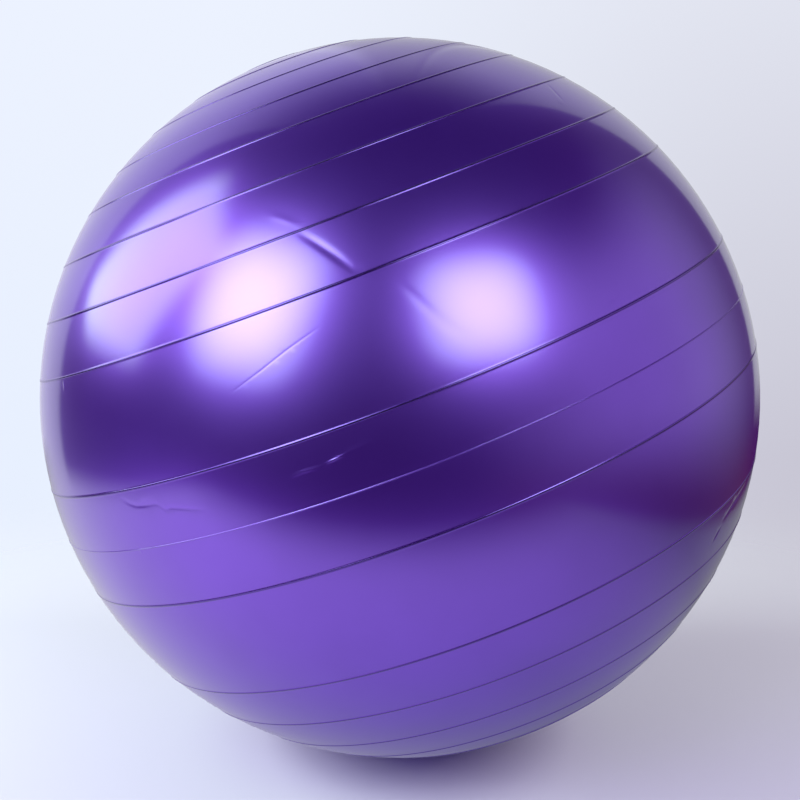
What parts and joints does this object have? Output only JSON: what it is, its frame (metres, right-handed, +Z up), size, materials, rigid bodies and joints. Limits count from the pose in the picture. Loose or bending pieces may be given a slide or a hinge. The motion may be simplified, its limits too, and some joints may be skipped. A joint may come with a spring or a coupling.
{
  "type": "exercise ball",
  "caption": "Inflated vinyl exercise ball with raised ring-shaped grip ribs, a smooth band each side of its mould line, and a push-in air stopper in a flush valve seat.",
  "frame": {"origin": "middle of the contact flat, on the floor that the ball rests on", "axes": "+Z up from the floor. The rib axis lies in the XZ plane and leans 20.6 degrees from +Z towards -X, with the valve at its upper end; -Y is the side seen in use from the front"},
  "size_m": [0.6499, 0.6506, 0.6478],
  "materials": {
    "pearl_vinyl": "gloss",
    "valve_vinyl": "satin",
    "stopper_plastic": "satin"
  },
  "bodies": {
    "ball": {"ball_skin": "pearl_vinyl", "valve_seat": "valve_vinyl"},
    "stopper": {"valve_stopper": "stopper_plastic"}
  },
  "joints": [
    {"name": "stopper_pull", "type": "slide", "parent": "ball", "child": "stopper", "axis": [-0.3518, 0, 0.9361], "range_m": [0, 0.05]}
  ]
}
